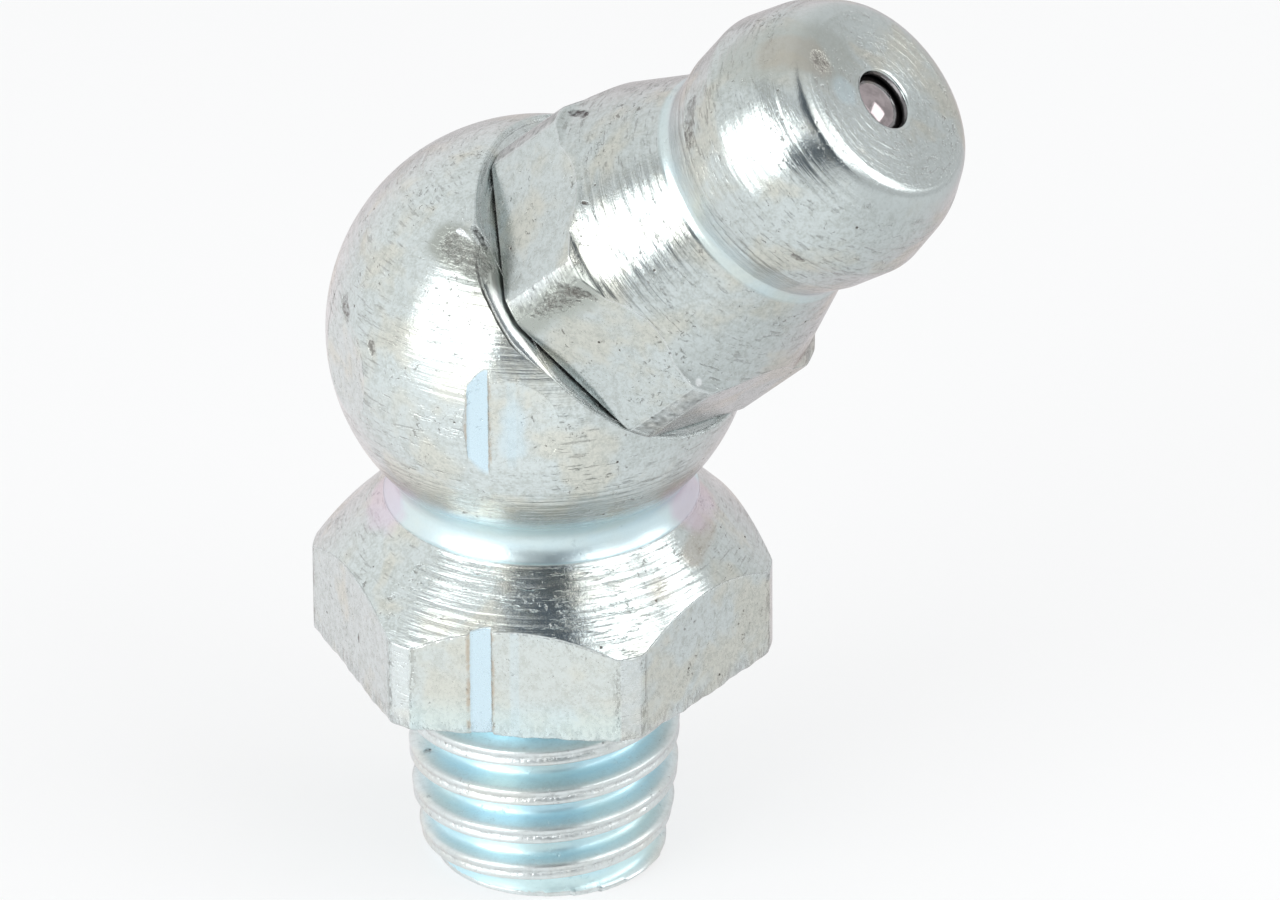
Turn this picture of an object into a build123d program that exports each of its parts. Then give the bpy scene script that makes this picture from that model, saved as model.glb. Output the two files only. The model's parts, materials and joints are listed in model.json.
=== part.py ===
from build123d import *
import os
from math import cos, radians, sin, sqrt, tan

# An angled grease nipple: a thread and hexagon with a ball on top, turned from one bar,
# and a nipple head pressed into the ball, with a spring-loaded ball valve inside.
# Millimetres and degrees. The thread axis is +Z, the hexagon's seat face is z = 0,
# and the nipple leans towards +X.

os.makedirs("parts", exist_ok=True)

# Thread, M6 x 1, its outline without the thread form
thread_diameter = 6.0
thread_length = 5.2
thread_parallel_length = 2.2  # from the seat face to where the tip starts to draw in
thread_lead_length = 4.1  # from the seat face to where the tip draws in faster
thread_lead_diameter = 5.76
thread_tip_diameter = 5.1
channel_diameter = 2.0  # grease channel up the middle of the thread
channel_chamfer = 0.25

# Hexagon, turned and parted from 9 mm bar
hexagon_width = 9.0  # across the flats
hexagon_turned_diameter = 10.06  # across the corners, which are turned down
hexagon_corner_height = 2.05  # height of the corner bands
hexagon_turn = 49.3  # from +X to the middle of a flat
shoulder_angle = 45.6  # cone above the hexagon, from the seat face
neck_radius = 0.5  # hollow between the cone and the ball

# Ball that carries the nipple head, with the bar's flats still on it
ball_diameter = 9.25
ball_height = 7.65
bend_angle = 47.0  # between the thread's axis and the nipple's axis
crossing_height = 7.41  # where the two axes meet
spot_face_height = 2.65  # along the nipple's axis, from the crossing
press_bore_diameter = 4.4
press_bore_depth = 2.4

# Nipple head, along its own axis from the spot face
spigot_length = 1.75
spigot_chamfer = 0.2
collar_width = 7.0  # across the flats
collar_turned_diameter = 7.76  # across the corners
collar_undercut_height = 0.25  # shadow gap between collar and spot face
collar_undercut_diameter = 6.4
collar_corner_height = 2.16  # where the corner bands end
collar_chamfer_height = 0.1
collar_chamfer_diameter = 7.3
collar_turn = 43.0  # from the downward side to the middle of a flat
neck_height = 4.7
neck_diameter = 5.36
flank_height = 5.5  # where the steep flank behind the head ends
flank_diameter = 5.88
ridge_height = 6.55  # the head's widest place
head_diameter = 6.25
front_flank_height = 7.75  # halfway point of the flank that the coupler's jaws slide over
front_flank_diameter = 5.66
head_length = 8.62  # spot face to the flat front
front_diameter = 4.66  # where the front flank would meet the flat front
front_edge_chamfer = 0.2

# Valve inside the head
inlet_diameter = 1.34
inlet_length = 0.2
seat_angle = 45.0  # between the seat and the nipple's axis
valve_bore_diameter = 2.9
lip_diameter = 1.9  # rolled rear edge that holds the spring in
lip_thickness = 0.35
valve_ball_diameter = 2.5
seat_clearance = 0.02
spring_wire = 0.3
spring_diameter = 2.2  # outside
spring_pitch = 1.6
spring_clearance = 0.02


def nipple_plane(height):
    """A plane across the nipple's axis, at a height above the spot face."""
    lean = radians(bend_angle)
    crossing = Plane(
        origin=(0, 0, crossing_height),
        x_dir=(cos(lean), 0, -sin(lean)),
        z_dir=(sin(lean), 0, cos(lean)),
    )
    return crossing.offset(spot_face_height + height)


spot_face = nipple_plane(0)
nipple_axis = Axis(spot_face.origin, spot_face.z_dir)
# x is the distance from the nipple's axis, y is the height above the spot face
nipple_section = Plane(origin=spot_face.origin, x_dir=spot_face.x_dir, z_dir=(0, -1, 0))

# Elbow body
cone_tip_height = hexagon_corner_height + hexagon_turned_diameter / 2 * tan(radians(shoulder_angle))

with BuildPart() as elbow_body:
    with BuildSketch(Plane.XZ) as turned_section:
        with BuildLine():
            Polyline(
                (0, -thread_length),
                (thread_tip_diameter / 2, -thread_length),
                (thread_lead_diameter / 2, -thread_lead_length),
                (thread_diameter / 2, -thread_parallel_length),
                (thread_diameter / 2, 0),
                (hexagon_turned_diameter / 2, 0),
                (hexagon_turned_diameter / 2, hexagon_corner_height),
                (0, cone_tip_height),
                (0, -thread_length),
            )
        make_face()
        with Locations((0, ball_height)):
            Circle(ball_diameter / 2)
        split(bisect_by=Plane.YZ, keep=Keep.TOP)
        hollow = turned_section.vertices().filter_by_position(
            Axis.Y, hexagon_corner_height, ball_height, inclusive=(False, False)
        )
        fillet(hollow, neck_radius)
    revolve(axis=Axis.Z)
    # the hexagonal bar leaves its flats on the hexagon and on the ball
    with BuildSketch(Plane.XY.offset(-thread_length)):
        RegularPolygon(hexagon_width / 2, 6, major_radius=False, rotation=hexagon_turn - 30)
    extrude(amount=thread_length + ball_height + ball_diameter, mode=Mode.INTERSECT)
    # spot face and press bore for the nipple head
    with BuildSketch(spot_face):
        Circle(ball_diameter)
    extrude(amount=ball_diameter, mode=Mode.SUBTRACT)
    with Locations(spot_face):
        Hole(press_bore_diameter / 2, press_bore_depth)
    # grease channel up through the thread
    with BuildSketch(Plane.XY.offset(-thread_length)):
        Circle(channel_diameter / 2)
    extrude(amount=thread_length + crossing_height, mode=Mode.SUBTRACT)
    mouth = elbow_body.edges().filter_by(GeomType.CIRCLE).group_by(Axis.Z)[0].sort_by(SortBy.RADIUS)[0]
    chamfer(mouth, channel_chamfer)

# Nipple head
seat_rise = (valve_bore_diameter - inlet_diameter) / 2 / tan(radians(seat_angle))
seat_top = head_length - inlet_length
seat_foot = seat_top - seat_rise

with BuildPart() as nipple_head:
    with BuildSketch(nipple_section) as head_section:
        with BuildLine():
            Polyline(
                (lip_diameter / 2, -spigot_length),
                (press_bore_diameter / 2 - spigot_chamfer, -spigot_length),
                (press_bore_diameter / 2, -spigot_length + spigot_chamfer),
                (press_bore_diameter / 2, 0),
                (collar_undercut_diameter / 2, 0),
                (collar_undercut_diameter / 2, collar_undercut_height),
                (collar_turned_diameter / 2, collar_undercut_height),
                (collar_turned_diameter / 2, collar_corner_height),
                (collar_chamfer_diameter / 2, collar_corner_height + collar_chamfer_height),
                (neck_diameter / 2, neck_height),
                (flank_diameter / 2, flank_height),
                (head_diameter / 2, ridge_height),
                (front_flank_diameter / 2, front_flank_height),
                (front_diameter / 2, head_length),
                (inlet_diameter / 2, head_length),
                (inlet_diameter / 2, seat_top),
                (valve_bore_diameter / 2, seat_foot),
                (valve_bore_diameter / 2, -spigot_length + lip_thickness),
                (lip_diameter / 2, -spigot_length + lip_thickness),
                (lip_diameter / 2, -spigot_length),
            )
        make_face()
        front_corner = (front_diameter / 2, head_length)
        chamfer(head_section.vertices().sort_by_distance(front_corner)[0], front_edge_chamfer)
    revolve(axis=nipple_axis)
    with BuildSketch(nipple_plane(-spigot_length)):
        RegularPolygon(collar_width / 2, 6, major_radius=False, rotation=collar_turn - 30)
    extrude(amount=spigot_length + head_length, mode=Mode.INTERSECT)

# Check ball, closed against its seat
ball_drop = (valve_ball_diameter / 2 + seat_clearance) / sin(radians(seat_angle))
ball_centre = seat_top + inlet_diameter / 2 / tan(radians(seat_angle)) - ball_drop

with BuildPart(nipple_plane(ball_centre)) as check_ball:
    Sphere(valve_ball_diameter / 2)

# Check spring, between the rolled lip and the ball
coil_radius = (spring_diameter - spring_wire) / 2
contact_distance = (valve_ball_diameter + spring_wire) / 2 + spring_clearance
spring_top = ball_centre - sqrt(contact_distance**2 - coil_radius**2)
spring_foot = -spigot_length + lip_thickness + spring_wire / 2 + spring_clearance

spring_base = nipple_plane(spring_foot)

with BuildPart() as check_spring:
    with BuildLine() as coil:
        Helix(
            spring_pitch,
            spring_top - spring_foot,
            coil_radius,
            center=spring_base.origin,
            direction=spring_base.z_dir,
        )
    with BuildSketch(Plane(origin=coil.line @ 0, z_dir=coil.line % 0)):
        RegularPolygon(spring_wire / 2, 5)
    sweep(is_frenet=True)

for name, piece in (
    ("elbow_body", elbow_body),
    ("nipple_head", nipple_head),
    ("check_ball", check_ball),
    ("check_spring", check_spring),
):
    piece.part.label = name
    export_step(piece.part, f"parts/{name}.step")
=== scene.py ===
import json
import math

import bmesh
import bpy
import numpy as np
from bpy.props import FloatProperty, FloatVectorProperty, PointerProperty
from mathutils import Matrix, Vector


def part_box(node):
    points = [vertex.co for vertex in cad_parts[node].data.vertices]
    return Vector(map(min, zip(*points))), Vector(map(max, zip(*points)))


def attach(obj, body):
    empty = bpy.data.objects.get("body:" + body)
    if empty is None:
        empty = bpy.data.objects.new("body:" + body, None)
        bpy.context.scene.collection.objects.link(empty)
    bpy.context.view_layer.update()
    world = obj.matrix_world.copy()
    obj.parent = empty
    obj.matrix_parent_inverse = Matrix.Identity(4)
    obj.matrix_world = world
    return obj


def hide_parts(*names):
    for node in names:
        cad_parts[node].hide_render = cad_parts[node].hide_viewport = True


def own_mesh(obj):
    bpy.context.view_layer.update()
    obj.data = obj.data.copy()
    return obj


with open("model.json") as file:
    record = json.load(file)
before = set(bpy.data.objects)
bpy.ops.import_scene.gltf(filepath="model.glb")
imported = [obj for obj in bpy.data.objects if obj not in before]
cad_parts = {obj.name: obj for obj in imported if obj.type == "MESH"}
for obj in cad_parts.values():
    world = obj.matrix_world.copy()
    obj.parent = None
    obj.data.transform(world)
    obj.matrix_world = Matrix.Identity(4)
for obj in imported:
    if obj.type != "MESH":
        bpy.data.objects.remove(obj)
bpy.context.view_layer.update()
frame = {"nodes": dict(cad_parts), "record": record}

bl_info = {
    "name": "Angled Grease Nipple",
    "version": (1, 0, 0),
    "blender": (4, 5, 0),
    "location": "3D View > Sidebar > Grease Nipple",
    "description": "Dresses the grease nipple with its rolled thread, zinc plating and a small studio",
    "category": "Object",
}

MM = 0.001
HALF_SIDE = math.pi / 6  # half the angle that a hexagon's side takes up
grease_head = next(mount for mount in frame["record"]["mounts"] if mount["name"] == "grease_head")
thread_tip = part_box("elbow_body")[0].z
thread_top = -0.3 * MM  # where the thread starts, under the hexagon
tip_start = thread_tip + 0.1 * MM  # where the thread ends and its plain end starts
head_axis = Vector(grease_head["axis"]).normalized()
head_front = Vector(grease_head["pos_m"])
head_side = Vector((0, 1, 0))
head_down = head_side.cross(head_axis)


# ---------------------------------------------------------------- sizes and finishes


def number(name, note, value, **kind):
    return FloatProperty(name=name, description=note, default=value, **kind)


def length(name, note, millimetres):
    return number(name, note, millimetres * MM, unit="LENGTH", precision=5)


def turn(name, note, degrees):
    return number(name, note, math.radians(degrees), subtype="ANGLE")


def colour(name, note, *default):
    return FloatVectorProperty(
        name=name, description=note, subtype="COLOR", size=3, min=0, max=1, default=default
    )


class BodySizes(bpy.types.PropertyGroup):
    """Sizes of the turned elbow body. Heights are above the hexagon's seat face."""

    hexagon_width: length("Hexagon width", "Across the flats", 9.0)
    hexagon_turned: length("Turned corners", "Across the turned corners", 10.06)
    hexagon_turn: turn("Hexagon turn", "From +X to the middle of a flat", 49.3)
    corner_height: length("Corner band", "Height of the turned corner bands", 2.05)
    cone_angle: turn("Cone angle", "Slope of the cone above the hexagon", 45.6)
    groove_radius: length("Groove radius", "Hollow between cone and ball", 0.6)
    ball_diameter: length("Ball diameter", "Ball that carries the nipple head", 9.25)
    ball_height: length("Ball height", "Height of the ball's centre", 7.65)
    strip_depth: length("Drawn strip", "Depth of the groove that the die left along the bar", 0.08)
    rim_round: length("Spot face rim", "Rounding of the spot face's sharp side", 0.04)
    rim_roll: length("Rolled rim", "Rounding on the side where the rim is rolled over", 0.42)
    bore_diameter: length("Press bore", "Bore that the nipple head is pressed into", 4.4)
    bore_depth: length("Press bore depth", "From the spot face", 2.2)
    edge_round: length("Worn edge", "Rounding of the hexagon's lower edge", 0.1)
    channel_diameter: length("Grease channel", "Hole up the middle of the thread", 2.0)
    channel_chamfer: length("Channel chamfer", "At the mouth of the grease channel", 0.25)
    channel_top: length("Channel top", "Height where the channel meets the press bore", 5.5)


class ThreadSizes(bpy.types.PropertyGroup):
    """Sizes of the rolled M6 thread."""

    pitch: length("Pitch", "Crest to crest", 1.0)
    root_radius: length("Root radius", "From the axis to the valleys", 2.42)
    shank_radius: length("Shank radius", "Plain neck under the hexagon", 2.66)
    tip_radius: length("Tip radius", "Edge of the thread's end", 2.55)
    crest_width: length("Crest width", "Flat top of the rolled crest", 0.32)
    flank_width: length("Flank width", "Height of each sloping side", 0.16)
    seam_depth: length("Rolling seam", "Hollow along the crest that thread rolling leaves", 0.045)
    seam_width: length("Seam width", "Half the width of the rolling seam", 0.055)
    start_height: length("Crest height", "Height of one crest, below the seat face", -3.4)
    start_turn: turn("Crest turn", "Where that crest is measured", -63.3)


class HeadSizes(bpy.types.PropertyGroup):
    """Sizes of the nipple head, along its own axis from the spot face."""

    length: length("Length", "Spot face to front face", 8.62)
    spigot_diameter: length("Spigot", "Pressed into the ball", 4.4)
    spigot_length: length("Spigot length", "Below the spot face", 1.75)
    undercut_diameter: length("Undercut diameter", "Shadow gap under the collar", 6.4)
    undercut_height: length("Undercut", "Gap between collar and spot face", 0.05)
    collar_width: length("Collar width", "Across the flats", 7.0)
    collar_turned: length("Turned corners", "Across the turned corners", 7.76)
    collar_turn: turn("Collar turn", "From the lower side to the middle of a flat", 43.0)
    corner_height: length("Corner band", "Where the corner bands end", 2.16)
    chamfer_height: length("Collar chamfer", "Height of the chamfer over the corner bands", 0.1)
    chamfer_diameter: length("Chamfer diameter", "Where the taper starts", 7.3)
    neck_height: length("Neck height", "Narrowest place", 4.7)
    neck_diameter: length("Neck diameter", "Narrowest place", 5.36)
    flank_height: length("Flank height", "Where the steep flank behind the head ends", 5.5)
    flank_diameter: length("Flank diameter", "Where the steep flank behind the head ends", 5.88)
    ridge_height: length("Ridge height", "Widest place of the head", 6.55)
    ridge_diameter: length("Ridge diameter", "Widest place of the head", 6.25)
    middle_height: length("Front flank height", "Where the front flank gets steeper", 7.72)
    middle_diameter: length("Front flank diameter", "Where the front flank gets steeper", 5.74)
    scribe_height: length("Tool line", "Fine line that the lathe tool left on the front flank", 8.0)
    front_diameter: length("Front diameter", "Where flank and front would meet", 4.66)
    front_round: length("Front edge", "Rounding between flank and front", 0.55)
    inlet_diameter: length("Inlet", "Grease inlet in the front", 1.34)
    inlet_length: length("Inlet length", "Straight part of the inlet", 0.2)
    valve_bore: length("Valve bore", "Bore behind the ball's seat", 2.9)
    lip_diameter: length("Lip", "Rolled rear edge that holds the spring in", 1.9)
    lip_thickness: length("Lip thickness", "Rolled rear edge", 0.35)
    spring_diameter: length("Spring", "Outside of its coils", 2.2)
    spring_wire: length("Spring wire", "Diameter", 0.3)
    spring_pitch: length("Spring pitch", "Distance between coils", 1.6)
    spring_top: length("Spring top", "Its last coil, above the spot face", 6.238)
    ball_travel: length("Ball travel", "How far the check ball gives way", 0.9)


class FinishColours(bpy.types.PropertyGroup):
    """Colours of the zinc plating, its film and the steel."""

    zinc: colour("Zinc", "Bright silver plating", 0.62, 0.68, 0.68)
    zinc_dull: colour("Dull zinc", "Greenish grey mottling", 0.40, 0.43, 0.40)
    zinc_warm: colour("Warm zinc", "Yellowish grey patches", 0.64, 0.655, 0.60)
    # Rubbed wear on edges and crests; the same colour is also painted light in the hollow under the ball and
    # a painted glint on the collar.
    worn: colour("Worn edges", "Rubbed bright", 0.80, 0.84, 0.85)
    passivated: colour("Passivated blue", "Blue film in the hollows", 0.62, 0.90, 1.0)
    passivated_green: colour("Passivated green", "Greenish parts of that film", 0.68, 0.88, 0.90)
    pit: colour("Pits", "Dark pits and specks", 0.12, 0.11, 0.10)
    # Near black: painted shade in joints, bores and hollows, and the colour of a few dark marks.
    grime: colour("Grime", "Oily dirt in the joints", 0.035, 0.035, 0.035)
    rust: colour("Rust", "Brown traces", 0.45, 0.33, 0.22)
    # Painted sheen: the film's violet at a grazing angle, laid on the hollow's two silhouettes.
    violet_sheen: colour("Violet film", "Thin end of the blue film", 0.68, 0.58, 0.68)
    drawn: colour("Drawn strip", "Clean strip that the drawing die left", 0.60, 0.745, 0.82)
    edge_tint: colour("Edge tint", "Reflections at a grazing angle", 0.96, 0.88, 0.89)
    bearing_steel: colour("Ball steel", "Check ball", 0.44, 0.39, 0.40)
    spring_steel: colour("Spring steel", "Drawn wire", 0.32, 0.32, 0.33)


class StageSettings(bpy.types.PropertyGroup):
    """Camera, lamps and room. Directions are given from the camera's own direction."""

    azimuth: turn("Camera azimuth", "From -Y towards +X", 26.748)
    elevation: turn("Camera elevation", "Above the floor", 28.988)
    roll: turn("Camera roll", "About its own axis", -0.382)
    distance: length("Camera distance", "From the target", 300.0)
    lens: number("Lens", "Focal length in millimetres", 390.46)
    target: FloatVectorProperty(
        name="Target", description="Point that the camera looks at", subtype="TRANSLATION",
        size=3, unit="LENGTH", default=(2.328 * MM, 0.152 * MM, 5.114 * MM),
    )
    key_strength: number("Key softbox", "Brightness seen in the metal", 3.2)
    side_strength: number("Side softbox", "Brightness seen in the metal", 2.2)
    glint_strength: number("Glint lamp", "Brightness seen in the check ball", 3.0)
    lamp_distance: length("Lamp distance", "From the target to each softbox", 180.0)
    room_strength: number("Room", "Light of the pale walls on the table", 0.75)
    gap_colour: colour("Gap", "Dark room between the softboxes", 0.10, 0.12, 0.145)
    flag_colour: colour("Flag", "Grey flag above the key softbox", 0.35, 0.35, 0.35)
    floor_colour: colour("Floor", "Pale table", 0.85, 0.86, 0.87)


# ---------------------------------------------------------------- mesh helpers

# The grime mask is mostly painted shade: it darkens joints, bores and hollows towards near black.
MASKS = ("turned", "blue", "worn", "grime", "pitted", "clean")
MERGED = 0.0004 * MM  # points closer than this become one
POINTED = 0.0001  # share of its radius that a closed end shrinks to
BAND_EDGE = 0.02 * MM  # rounding between a flat and a turned corner
FLAT_MARGIN = 0.03 * MM  # a column lies on a flat when it is this close to it
NEAR_CORNER = math.radians(0.35)  # from a corner to the columns beside it
GRAIN_STEP = 0.01  # from row to row in the map that the grain's direction is read from


def steps(count):
    """Equal steps from just after 0 up to 1."""
    return np.linspace(0, 1, count + 1)[1:]


def spaced(stops, counts):
    """Values from stop to stop, so that each stop has a column or row of its own."""
    pieces = [np.linspace(a, b, n, endpoint=False) for a, b, n in zip(stops[:-1], stops[1:], counts)]
    return np.concatenate(pieces)


def six_sectors(stops, counts, turned_by):
    """Columns all round a hexagon, from the stops and counts of one flat."""
    sector = spaced(stops, counts)
    return np.concatenate([sector + turned_by + k * math.pi / 3 for k in range(6)])


def turned_down(flats, turned):
    """Distance to a hexagon's sides with turned corners, and 1 for each column on a flat, else 0."""
    radius = turned / 2
    side = (flats + radius - np.sqrt((flats - radius) ** 2 + BAND_EDGE**2)) / 2
    return side, (side > flats - FLAT_MARGIN).astype(float)


def curve(start, corner, end, t):
    """A place on the curve that rounds off a corner, from 0 at its start to 1 at its end."""
    return start * (1 - t) ** 2 + corner * 2 * t * (1 - t) + end * t**2


def rounded_outline(corners):
    """An outline of (radius, height) points from (radius, height, rounding) corners."""
    outline = []
    for i, (r, z, rounding) in enumerate(corners):
        if rounding == 0 or i in (0, len(corners) - 1):
            outline.append((r, z))
            continue
        here = Vector((r, z))
        back = Vector(corners[i - 1][:2]) - here
        ahead = Vector(corners[i + 1][:2]) - here
        half = back.angle(ahead) / 2
        share_back = 0.45 if corners[i - 1][2] else 0.95
        share_ahead = 0.45 if corners[i + 1][2] else 0.95
        reach = min(rounding / math.tan(half), share_back * back.length, share_ahead * ahead.length)
        start, end = here + back.normalized() * reach, here + ahead.normalized() * reach
        for t in np.linspace(0, 1, 6):
            point = curve(start, here, end, t)
            outline.append((point.x, point.y))
    return outline


class Skin:
    """Rows of points round an axis, one point for each column, that become one closed mesh."""

    def __init__(self, angles):
        self.angles = angles
        self.points, self.lathe, self.masks = [], [], []

    def row(self, points, lathe, **finish):
        """A row at given points. finish gives masks by name, each one value or one for each column."""
        values = {"turned": 1.0, **finish}
        ones = np.ones(len(self.angles))
        self.points.append(points)
        self.lathe.append(lathe)
        self.masks.append(np.stack([values.get(mask, 0.0) * ones for mask in MASKS], 1))

    def ring(self, radius, height, along=None, **finish):
        """A row at one radius and height, or at one of each for every column."""
        ones = np.ones(len(self.angles))
        across, up = np.cos(self.angles), np.sin(self.angles)
        points = np.stack([radius * across, radius * up, height * ones], 1)
        along = height if along is None else along
        self.row(points, np.stack([across, up, along * ones / MM], 1), **finish)

    def faces(self, first=0, shift=0, closed=False):
        """Quads between the rows, and each corner's place on the outline and round the axis.
        shift joins the last column to the first one some rows on."""
        rows, columns = len(self.points), len(self.angles)
        quads, corners = [], []
        for k in range(rows if closed else rows - 1):
            low, high = k, (k + 1) % rows
            flat = (self.masks[low][:, 0] < 0.5) & (self.masks[high][:, 0] < 0.5)
            for j in range(columns):
                if j < columns - 1:
                    a, b = low * columns + j, low * columns + j + 1
                    c, d = high * columns + j + 1, high * columns + j
                else:
                    near_low, near_high = max(low - shift, 0), max(high - shift, 0)
                    a, b = low * columns + j, near_low * columns
                    c, d = near_high * columns, high * columns + j
                quads.append((a + first, b + first, c + first, d + first))
                square = [(k, j), (k, j + 1), (k + 1, j + 1), (k + 1, j)]
                corners += [(v, u) for u, v in square] if flat[j] else square
        return quads, corners


def placed(name, data):
    """An object in the scene."""
    item = bpy.data.objects.new(name, data)
    bpy.context.scene.collection.objects.link(item)
    return item


def mesh_piece(name, skins, faces, corners, place=None):
    """One smooth, closed mesh object from skins whose touching points are merged."""
    points = np.concatenate([np.concatenate(skin.points) for skin in skins])
    lathe = np.concatenate([np.concatenate(skin.lathe) for skin in skins])
    masks = np.concatenate([np.concatenate(skin.masks) for skin in skins])
    if place is not None:
        points = points @ np.array(place.to_3x3()).T + np.array(place.translation)
    mesh = bpy.data.meshes.new(name)
    mesh.from_pydata(points.tolist(), [], faces)
    grain = mesh.uv_layers.new(name="grain")
    grain.uv.foreach_set("vector", (np.array(corners, dtype=np.float32) * GRAIN_STEP).ravel())
    # soil holds the grime mask, which is painted shade, with the pits and the clean mask.
    for label, values in (("lathe", lathe), ("finish", masks[:, :3]), ("soil_and_shade", masks[:, 3:])):
        mesh.attributes.new(label, "FLOAT_VECTOR", "POINT").data.foreach_set("vector", values.ravel())
    form = bmesh.new()
    form.from_mesh(mesh)
    bmesh.ops.remove_doubles(form, verts=form.verts, dist=MERGED)
    bmesh.ops.dissolve_degenerate(form, edges=form.edges, dist=MERGED / 2)
    bmesh.ops.recalc_face_normals(form, faces=form.faces)
    for face in form.faces:
        face.smooth = True
    form.to_mesh(mesh)
    form.free()
    piece = placed(name, mesh)
    piece.modifiers.new("flat faces stay flat", "WEIGHTED_NORMAL").mode = "FACE_AREA"
    return piece


# ---------------------------------------------------------------- elbow body

# The front flat's outward direction, the direction across it, and its clean strips,
# in millimetres from its middle
FRONT_FLAT = (0.330, -0.944, 0.0)
ACROSS_FRONT = (0.944, 0.330, 0.0)
MAIN_STRIP = (-0.99, -0.50)
FAINT_STRIP = (-0.10, 0.10)
# Where the spot face's rim is rolled over, and how far to each side, in degrees round the head's axis
ROLLED_SIDE = -113
ROLLED_SPAN = 20


def body_columns(sizes):
    """Angles round the thread's axis, with columns on every edge of every flat."""
    ball_edge = math.acos(sizes.hexagon_width / sizes.ball_diameter)
    corner = math.acos(sizes.hexagon_width / sizes.hexagon_turned)
    near, step = NEAR_CORNER, math.radians(0.2)  # step: from the strip's edges to their columns
    left, right = (math.atan2(edge * MM, sizes.hexagon_width / 2) for edge in MAIN_STRIP)
    stops = [-HALF_SIDE, -corner - near, -corner, -corner + near, -ball_edge, left - step, left + step,
             right - step, right + step, ball_edge, corner - near, corner, corner + near, HALF_SIDE]
    return six_sectors(stops, [5, 1, 1, 10, 1, 1, 6, 1, 14, 10, 1, 1, 5], sizes.hexagon_turn)


def off_middle(angles, turned_by):
    """Angles from the middle of the nearest flat."""
    return (angles - turned_by + HALF_SIDE) % (2 * HALF_SIDE) - HALF_SIDE


def flat_reach(angles, turned_by, width):
    """Distance from the axis to the hexagon's flats along each angle."""
    return width / 2 / np.cos(off_middle(angles, turned_by))


def bar_reach(sizes, angles):
    """Distance from the axis to the bar's flats, with the die's shallow strip in the front one."""
    flats = flat_reach(angles, sizes.hexagon_turn, sizes.hexagon_width)
    direction = np.stack([np.cos(angles), np.sin(angles), 0 * angles], 1)
    across = flats * (direction @ ACROSS_FRONT) / MM
    in_front = direction @ FRONT_FLAT > 0.8
    in_strip = (across > MAIN_STRIP[0]) & (across < MAIN_STRIP[1]) & in_front
    waves = 1 + 0.2 * np.sin(angles * 40)
    return flats - sizes.strip_depth * in_strip * waves


def edge_wear(sizes, angles):
    """How far the hexagon's lower edge is rubbed and burred, for each column."""
    waves = 0.35 * np.sin(angles * 7) + 0.25 * np.sin(angles * 23 + 1) + 0.2 * np.sin(angles * 61 + 2)
    return sizes.edge_round * (1 + waves)


def hexagon_rows(skin, sizes, thread):
    """The seat face and the hexagon's sides, up to their crease with the cone."""
    flats = bar_reach(sizes, skin.angles)
    turned_radius = sizes.hexagon_turned / 2
    side, on_flat = turned_down(flats, sizes.hexagon_turned)
    corner = math.acos(sizes.hexagon_width / sizes.hexagon_turned)
    off_crease = np.abs(off_middle(skin.angles, sizes.hexagon_turn)) - corner
    ragged_width = math.radians(1.1)
    ragged = np.exp(-((off_crease / ragged_width) ** 2))
    slope = math.tan(sizes.cone_angle)
    top = sizes.corner_height + (turned_radius - side) * slope
    wear = edge_wear(sizes, skin.angles)
    for t in np.linspace(0, 1, 8, endpoint=False):
        reach = thread.shank_radius + (side - wear - thread.shank_radius) * t
        skin.ring(reach, 0.0, along=reach, turned=0.6, blue=0.6 * (1 - t))
    for t in np.linspace(0, 1, 4):
        lean = t * math.pi / 2
        skin.ring(side - wear * (1 - math.sin(lean)), wear * (1 - math.cos(lean)), turned=1 - on_flat,
                  worn=0.3, pitted=0.55)
    crease = 0.03 * MM
    for t in steps(12):
        skin.ring(side, wear + (top - crease - wear) * t, turned=1 - on_flat, worn=0.5 * (1 - on_flat),
                  pitted=np.maximum(0.8 * ragged, 0.35 * (t < 0.1)))
    cone_start = side - crease * 0.7
    cone_z = sizes.corner_height + (turned_radius - cone_start) * slope
    skin.ring(side - crease * 0.15, (top - crease + cone_z) / 2 + crease * 0.2, turned=1 - on_flat * 0.5,
              worn=0.7, pitted=0.5)
    return cone_start


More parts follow.
